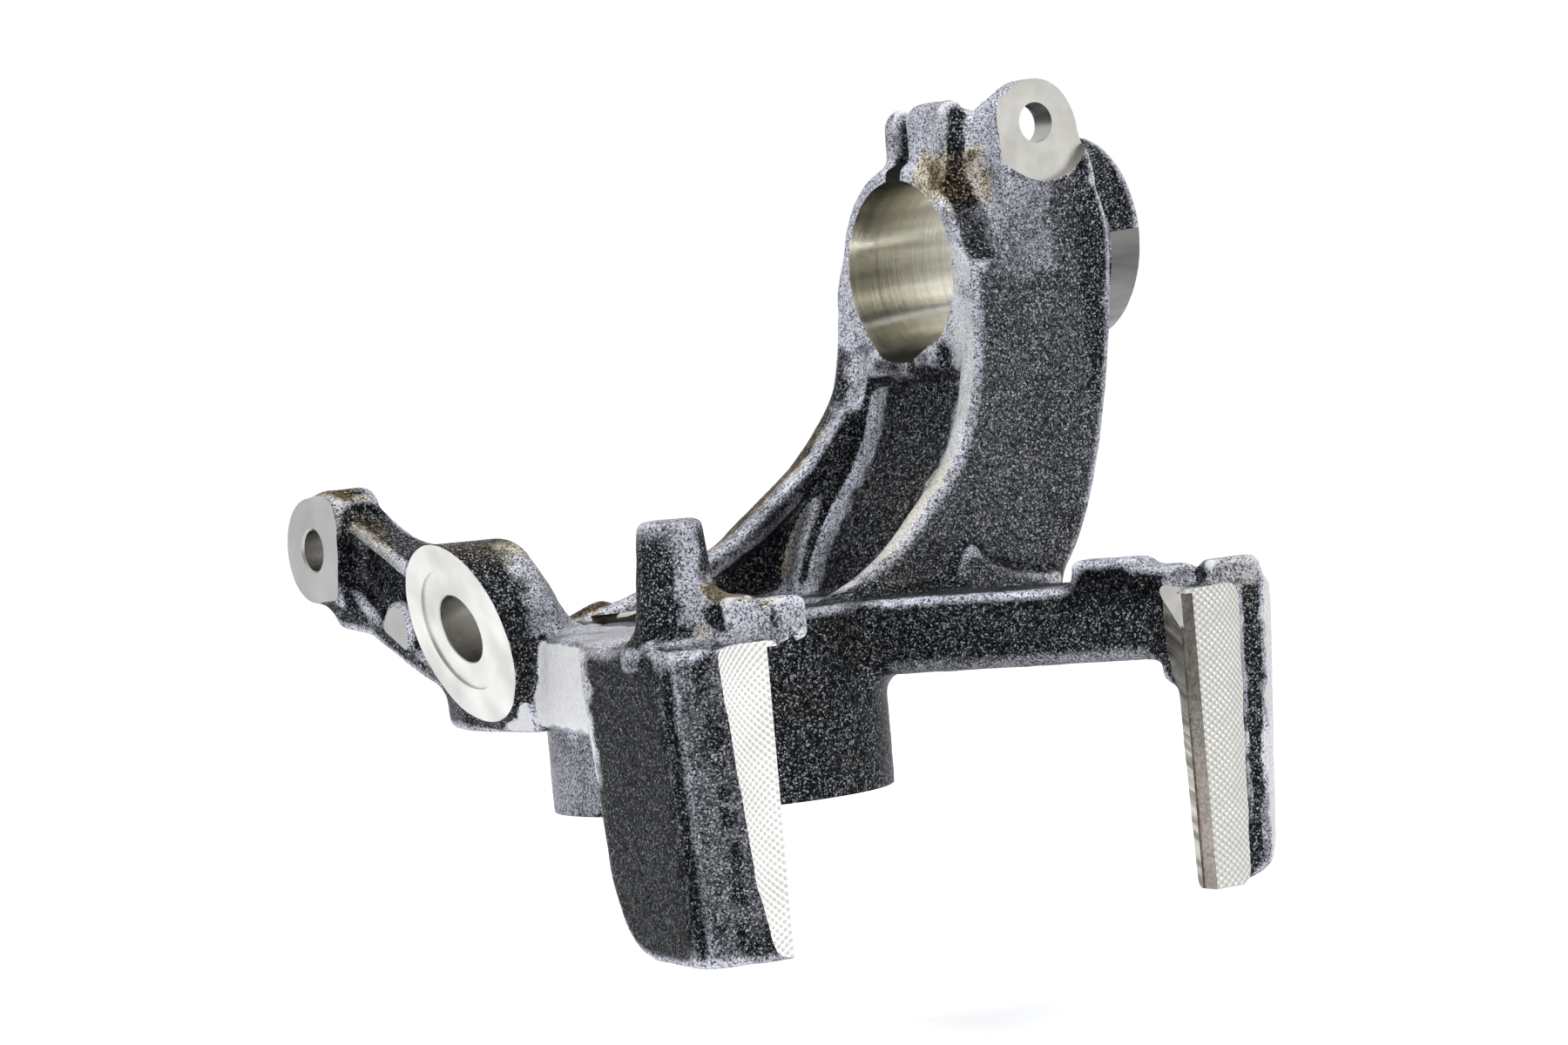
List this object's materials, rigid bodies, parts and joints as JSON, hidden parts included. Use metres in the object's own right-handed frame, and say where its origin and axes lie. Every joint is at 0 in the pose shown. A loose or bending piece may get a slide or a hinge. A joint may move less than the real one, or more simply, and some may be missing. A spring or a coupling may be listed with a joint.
{
  "type": "steering knuckle",
  "caption": "Cast front steering knuckle with bearing housing, split strut clamp, ball-joint boss, steering arm and machined brake pad ways.",
  "frame": {"origin": "centre of the wheel-bearing bore, in the plane of the housing's outboard face", "axes": "+Z along the wheel axis towards the car, +X towards the strut clamp, -Y towards the brake pad ways"},
  "size_m": [0.2617, 0.2754, 0.2478],
  "materials": {
    "cast_iron": "as cast, dark, with machined bright faces"
  },
  "bodies": {
    "root": {"knuckle_casting": "cast_iron"}
  },
  "joints": []
}
